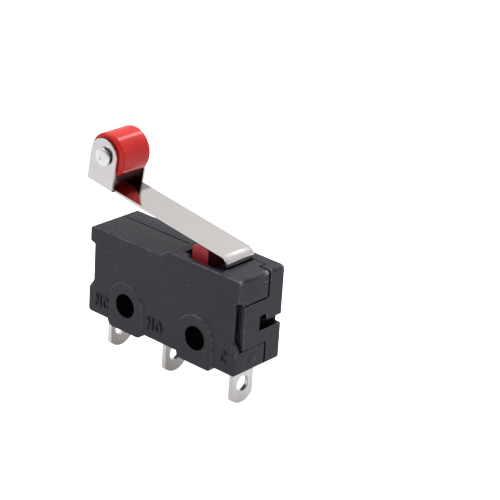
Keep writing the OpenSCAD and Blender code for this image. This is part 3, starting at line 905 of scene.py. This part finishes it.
class Shop:
    """What every sub-assembly uses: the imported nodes, the effects and the built materials."""

    def __init__(self, nodes: dict[str, Piece]) -> None:
        """Builds the shared effects.

        Args:
            nodes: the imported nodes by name.
        """
        self.nodes = nodes
        self.effects = Effects()
        self.built: dict[str, Material] = {}

    def dress(self, name: str, finish: Finish, edge: EdgeBreak) -> None:
        """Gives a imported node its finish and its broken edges.

        Args:
            name: the node's name.
            finish: its finish.
            edge: how its edges are broken.
        """
        piece = self.nodes[name]
        self.paint(piece, finish)
        edge.apply(piece)
        LOG.info("%s: %s", name, finish.name)

    def paint(self, piece: Piece, finish: Finish) -> None:
        """Assigns a finish to every material slot of a piece, and builds it when it is new.

        Args:
            piece: the object to paint.
            finish: its finish.
        """
        if finish.name not in self.built:
            self.built[finish.name] = finish.build(self.effects)
        material = self.built[finish.name]
        if not piece.material_slots:
            piece.data.materials.append(material)
        for slot in piece.material_slots:
            slot.material = material


def ring_faces(rings: int, around: int) -> np.ndarray:
    """Quads between neighbouring rings of points, closed round each ring.

    Args:
        rings: how many rings there are.
        around: how many points each ring has.

    Returns:
        Indices of the quads' corners, four to a row.
    """
    ring, this = np.meshgrid(np.arange(rings - 1) * around, np.arange(around), indexing="ij")
    after, following = (this + 1) % around, ring + around
    corners = [ring + this, following + this, following + after, ring + after]
    return np.stack(corners, axis=-1).reshape(-1, 4)


def mesh_piece(name: str, points: np.ndarray, quads: np.ndarray) -> Piece:
    """Makes an object at the origin from arrays of points and quads.

    Args:
        name: the object's name.
        points: its corners, three numbers to a row, in metres.
        quads: its faces, four indices to a row.

    Returns:
        The object, linked to the scene, with its doubles merged and its faces turned outwards.
    """
    data = bpy.data.meshes.new(name)
    data.vertices.add(len(points))
    data.vertices.foreach_set("co", points.astype(np.float32).ravel())
    data.loops.add(quads.size)
    data.loops.foreach_set("vertex_index", quads.astype(np.int32).ravel())
    data.polygons.add(len(quads))
    data.polygons.foreach_set("loop_start", np.arange(0, quads.size, 4, dtype=np.int32))
    data.update(calc_edges=True)
    work = bmesh.new()
    work.from_mesh(data)
    bmesh.ops.remove_doubles(work, verts=work.verts, dist=SAME_POINT)
    bmesh.ops.recalc_face_normals(work, faces=work.faces)
    work.to_mesh(data)
    work.free()
    data.shade_smooth()
    made = bpy.data.objects.new(name, data)
    bpy.context.scene.collection.objects.link(made)
    return made


class Letter(Enum):
    """The letters that mark the terminals, each as strokes in a unit box."""

    N = "N"
    C = "C"
    O = "O"

    def strokes(self) -> list[np.ndarray]:
        """The middle lines of the letter's strokes.

        The strokes of N are straight lines between corners. C and O follow an ellipse that fills
        the box: x = 0.5 + 0.5 cos(a), y = 0.5 + 0.5 sin(a), and C leaves its right side open.

        Returns:
            One array of points for each stroke, two numbers to a row, from 0 to 1.
        """
        if self is Letter.N:
            ends = (((0, 0), (0, 1)), ((0, 1), (1, 0)), ((1, 0), (1, 1)))
            share = np.linspace(0.0, 1.0, 9)[:, None]
            return [np.array(a) * (1 - share) + np.array(b) * share for a, b in ends]
        first_deg, last_deg, count = (38.0, 322.0, 44) if self is Letter.C else (90.0, 450.0, 49)
        turn = np.radians(np.linspace(first_deg, last_deg, count))
        return [np.stack([0.5 + 0.5 * np.cos(turn), 0.5 + 0.5 * np.sin(turn)], axis=1)]


@dataclass
class MouldedMark:
    """One raised letter on the front face: its box, its stroke and how far it stands out."""

    letter: Letter
    left: float
    bottom: float
    width: float
    height: float
    stroke: float = 0.27 * MM
    raise_by: float = 0.148 * MM
    sink: float = 0.04 * MM
    top_power: float = 0.6
    foot_power: float = 0.4
    around: int = 20
    cap_rings: int = 5

    def surface(self, face_y: float) -> tuple[np.ndarray, np.ndarray]:
        """Sweeps a rounded ridge along each stroke.

        Point (s, t) = path(s) + across(s) * half * k(s) * cos(t). It stands out of the face by
        raise_by * sqrt(k(s)) * sin(t) ** top_power in the upper half of t, and lies sunk in it by
        sink * |sin(t)| ** foot_power below. k falls to nought along a quarter circle at each end.

        Args:
            face_y: where the front face lies.

        Returns:
            The points and the quads of all the letter's strokes.
        """
        points, quads, count = [], [], 0
        half = self.stroke / 2
        t = np.linspace(0.0, 2 * math.pi, self.around, endpoint=False)
        side, steep = np.cos(t), np.abs(np.sin(t))
        out = np.sin(t) > 0
        rise = np.where(
            out, self.raise_by * steep ** self.top_power, -self.sink * steep ** self.foot_power)
        cap = np.radians(np.linspace(90.0, 0.0, self.cap_rings + 1)[:-1])
        for path in self.letter.strokes():
            room = np.array([self.width - self.stroke, self.height - self.stroke])
            line = np.array([self.left + half, self.bottom + half]) + path * room
            along = np.gradient(line, axis=0)
            along /= np.linalg.norm(along, axis=1, keepdims=True)
            first = line[0] - along[0] * (half * np.sin(cap))[:, None]
            last = line[-1] + along[-1] * (half * np.sin(cap[::-1]))[:, None]
            k = np.concatenate([np.cos(cap), np.ones(len(line)), np.cos(cap[::-1])])[:, None]
            line = np.concatenate([first, line, last])
            along = np.concatenate(
                [np.repeat(along[:1], len(cap), 0), along, np.repeat(along[-1:], len(cap), 0)])
            across = np.stack([along[:, 1], -along[:, 0]], axis=1)
            flat = line[:, None] + across[:, None] * (half * k * side)[..., None]
            depth = face_y - rise * np.where(out, k ** 0.5, 1.0)
            points.append(np.stack([flat[..., 0], depth, flat[..., 1]], axis=-1).reshape(-1, 3))
            quads.append(ring_faces(len(line), self.around) + count)
            count += len(points[-1])
        return np.concatenate(points), np.concatenate(quads)


@dataclass
class Housing:
    """The latched housing: case, cover and the raised letters that mark the terminals."""

    shop: Shop
    edge: EdgeBreak = EdgeBreak(0.058 * MM, segments=1)
    front_y: float = -3.2 * MM
    mark_height: float = 1.4 * MM
    marks_mm: list[tuple[Letter, float, float, float]] = field(default_factory=lambda: [
        (Letter.N, -9.05, -1.47, 0.86), (Letter.C, -7.98, -1.47, 0.88),
        (Letter.N, -1.8, -1.42, 0.9), (Letter.O, -0.66, -1.42, 0.92),
        (Letter.C, 8.03, -1.36, 0.84),
    ])

    def build(self) -> None:
        """Dresses the two mouldings and adds the marks."""
        for name in ("case", "cover"):
            self.shop.dress(name, HOUSING_BLACK, self.edge)
        points, quads, count = [], [], 0
        for letter, left, bottom, width in self.marks_mm:
            mark = MouldedMark(letter, left * MM, bottom * MM, width * MM, self.mark_height)
            corners, faces = mark.surface(self.front_y)
            points.append(corners)
            quads.append(faces + count)
            count += len(corners)
        piece = mesh_piece("terminal_marks", np.concatenate(points), np.concatenate(quads))
        self.shop.paint(piece, HOUSING_BLACK)
        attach(piece, "housing")
        LOG.info("terminal_marks: %d letters", len(self.marks_mm))


@dataclass
class LeverSet:
    """The lever with its roller and pin, and the plunger under it."""

    shop: Shop
    sheet_edge: EdgeBreak = EdgeBreak(0.04 * MM)
    turned_edge: EdgeBreak = EdgeBreak(0.05 * MM)
    formed_edge: EdgeBreak = EdgeBreak(0.05 * MM, clamped=True)
    moulded_edge: EdgeBreak = EdgeBreak(0.1 * MM)

    def build(self) -> None:
        """Dresses the lever, the roller, its pin and the plunger."""
        self.shop.dress("lever", LEVER_STEEL, self.sheet_edge)
        self.shop.dress("roller", ROLLER_RED, self.turned_edge)
        self.shop.dress("roller_pin", PIN_STEEL, self.formed_edge)
        self.shop.dress("plunger", PLUNGER_RED, self.moulded_edge)


@dataclass
class ContactSet:
    """The three terminals and the snap mechanism inside the housing."""

    shop: Shop
    punched_edge: EdgeBreak = EdgeBreak(0.05 * MM)
    thin_edge: EdgeBreak = EdgeBreak(0.02 * MM, segments=1, clamped=True)

    def build(self) -> None:
        """Dresses the terminals, the blade and the contacts."""
        self.shop.dress("common_terminal", TINNED, self.punched_edge)
        # The normally open and normally closed terminals get painted shade on their broad faces.
        for name in ("normally_open_terminal", "normally_closed_terminal"):
            self.shop.dress(name, TINNED_PAINTED_SHADE, self.punched_edge)
        self.shop.dress("snap_blade", BLADE_BRONZE, self.thin_edge)
        for name in ("moving_contact", "normally_open_contact", "normally_closed_contact"):
            self.shop.dress(name, CONTACT_SILVER, self.punched_edge)


@dataclass
class SoftLight:
    """One rectangular softbox: where it is, what it faces, its size and its power.

    One that is left out of reflections lights the part without a white patch on the lever.
    """

    name: str
    place: Point
    size: Span
    power: float
    aim: Point = (0.0, 0.0, 0.004)
    tint: Colour = (1.0, 1.0, 1.0)
    reflected: bool = True

    def build(self) -> None:
        """Adds the light to the scene."""
        data = bpy.data.lights.new(self.name, "AREA")
        data.shape = "RECTANGLE"
        data.size, data.size_y = self.size
        data.energy = self.power
        data.color = self.tint
        lamp = bpy.data.objects.new(self.name, data)
        lamp.location = self.place
        lamp.visible_glossy = self.reflected
        lamp.rotation_mode = "QUATERNION"
        towards = Vector(self.aim) - Vector(self.place)
        lamp.rotation_quaternion = towards.to_track_quat("-Z", "Y")
        bpy.context.scene.collection.objects.link(lamp)


@dataclass
class Studio:
    """The pale floor, the bright surroundings, the softboxes and the camera."""

    floor_z: float
    floor_half: float = 1.5
    floor_tone: Colour = (0.94, 0.94, 0.94)
    floor_seen_by_part: Colour = (0.44, 0.43, 0.435)
    floor_glow: Colour = (0.39, 0.385, 0.39)
    floor_emission: float = 0.85
    floor_rough: float = 0.9
    floor_specular: float = 0.1
    sky: float = 0.8
    sky_span: Span = (0.0, 0.8)
    horizon: float = 0.7
    dim_side: float = 0.25
    dim_towards: Point = (0.64, -0.72, 0.0)
    dim_span: Span = (0.1, 0.75)
    glow_from: Point = (0.0, 0.7, 0.714)
    glow_core: float = 7.0
    core_span: Span = (0.988, 0.998)
    glow_halo: float = 0.3
    halo_span: Span = (0.82, 1.0)
    lights: list[SoftLight] = field(default_factory=lambda: [
        SoftLight("softbox_top", (-0.08, 0.04, 0.35), (0.35, 0.3), 0.9,
                  tint=(0.82, 0.91, 1.0), reflected=False),
        SoftLight("softbox_left", (-0.3, -0.2, 0.35), (0.22, 0.22), 0.4),
    ])
    eye: Point = (0.112592, -0.124168, 0.080611)
    forward: Point = (-0.58945, 0.70110, -0.40126)
    right: Point = (0.74626, 0.66278, 0.06179)
    up: Point = (-0.30927, 0.26302, 0.91388)
    lens: float = 134.69
    sensor: float = 36.0
    clip: Span = (0.005, 20.0)

    def build(self) -> None:
        """Builds the floor, the world, the lights and the camera."""
        self._floor()
        self._world()
        for lamp in self.lights:
            lamp.build()
        self._camera()
        bpy.context.scene.view_settings.view_transform = "Standard"

    def _floor(self) -> None:
        """A flat sheet on a grid: point (u, v) = (u, v, floor height)."""
        cells = 2
        line = np.linspace(-self.floor_half, self.floor_half, cells + 1)
        u, v = np.meshgrid(line, line, indexing="ij")
        points = np.stack([u, v, np.full_like(u, self.floor_z)], axis=-1).reshape(-1, 3)
        column, row = np.meshgrid(np.arange(cells), np.arange(cells), indexing="ij")
        low = column * (cells + 1) + row
        high = low + cells + 1
        quads = np.stack([low, high, high + 1, low + 1], axis=-1).reshape(-1, 4)
        sheet = mesh_piece("floor", points, quads)
        material, graph, shader = new_material("pale_floor")
        seen = graph.node("ShaderNodeLightPath").outputs["Is Camera Ray"]
        for name, value in (
            ("Base Color", graph.blend(seen, self.floor_seen_by_part, self.floor_tone)),
            ("Emission Color", graph.blend(seen, self.floor_glow, (1.0, 1.0, 1.0))),
            ("Emission Strength", self.floor_emission),
            ("Roughness", self.floor_rough),
            ("Specular IOR Level", self.floor_specular),
        ):
            graph.feed(shader.inputs[name], value)
        sheet.data.materials.append(material)

    def _world(self) -> None:
        """Even white surroundings for the camera.

        All else sees them dimmed on the camera's side, with a bright spot and its halo behind
        and above the part.
        """
        world = bpy.data.worlds.new("white_surroundings")
        world.use_nodes = True
        graph = Graph(world.node_tree)
        world.node_tree.nodes.clear()
        direction = graph.node("ShaderNodeTexCoord").outputs["Generated"]
        _, _, up = graph.split(direction)
        tone = graph.remap(up, self.sky_span, (self.horizon, self.sky))
        side = graph.dot(direction, self.dim_towards)
        tone = graph.math("MULTIPLY", tone, graph.remap(side, self.dim_span, (1.0, self.dim_side)))
        towards = graph.dot(direction, self.glow_from)
        core = graph.remap(towards, self.core_span, (0.0, self.glow_core))
        halo = graph.remap(towards, self.halo_span, (0.0, self.glow_halo))
        tone = graph.math("ADD", tone, core, halo)
        seen = graph.node("ShaderNodeLightPath").outputs["Is Camera Ray"]
        back = graph.node("ShaderNodeBackground")
        graph.feed(back.inputs["Color"], (1.0, 1.0, 1.0))
        graph.feed(back.inputs["Strength"], graph.math("MAXIMUM", tone, seen))
        graph.feed(graph.node("ShaderNodeOutputWorld").inputs["Surface"], back.outputs[0])
        bpy.context.scene.world = world

    def _camera(self) -> None:
        """The camera at the photograph's place and angle."""
        data = bpy.data.cameras.new("photo_camera")
        data.lens, data.sensor_width = self.lens, self.sensor
        data.clip_start, data.clip_end = self.clip
        camera = bpy.data.objects.new("photo_camera", data)
        axes = Matrix((Vector(self.right), Vector(self.up), -Vector(self.forward)))
        turn = axes.transposed().to_4x4()
        camera.matrix_world = Matrix.Translation(Vector(self.eye)) @ turn
        bpy.context.scene.collection.objects.link(camera)
        bpy.context.scene.camera = camera


def main() -> None:
    """Builds the sub-assemblies and the studio."""
    logging.basicConfig(level=logging.INFO, format="%(name)s %(message)s")
    shop = Shop(frame["nodes"])
    for part in (Housing(shop), LeverSet(shop), ContactSet(shop)):
        part.build()
    lowest = min(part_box(name)[0].z for name in frame["nodes"])
    Studio(floor_z=lowest).build()


if __name__ == "__main__":
    main()
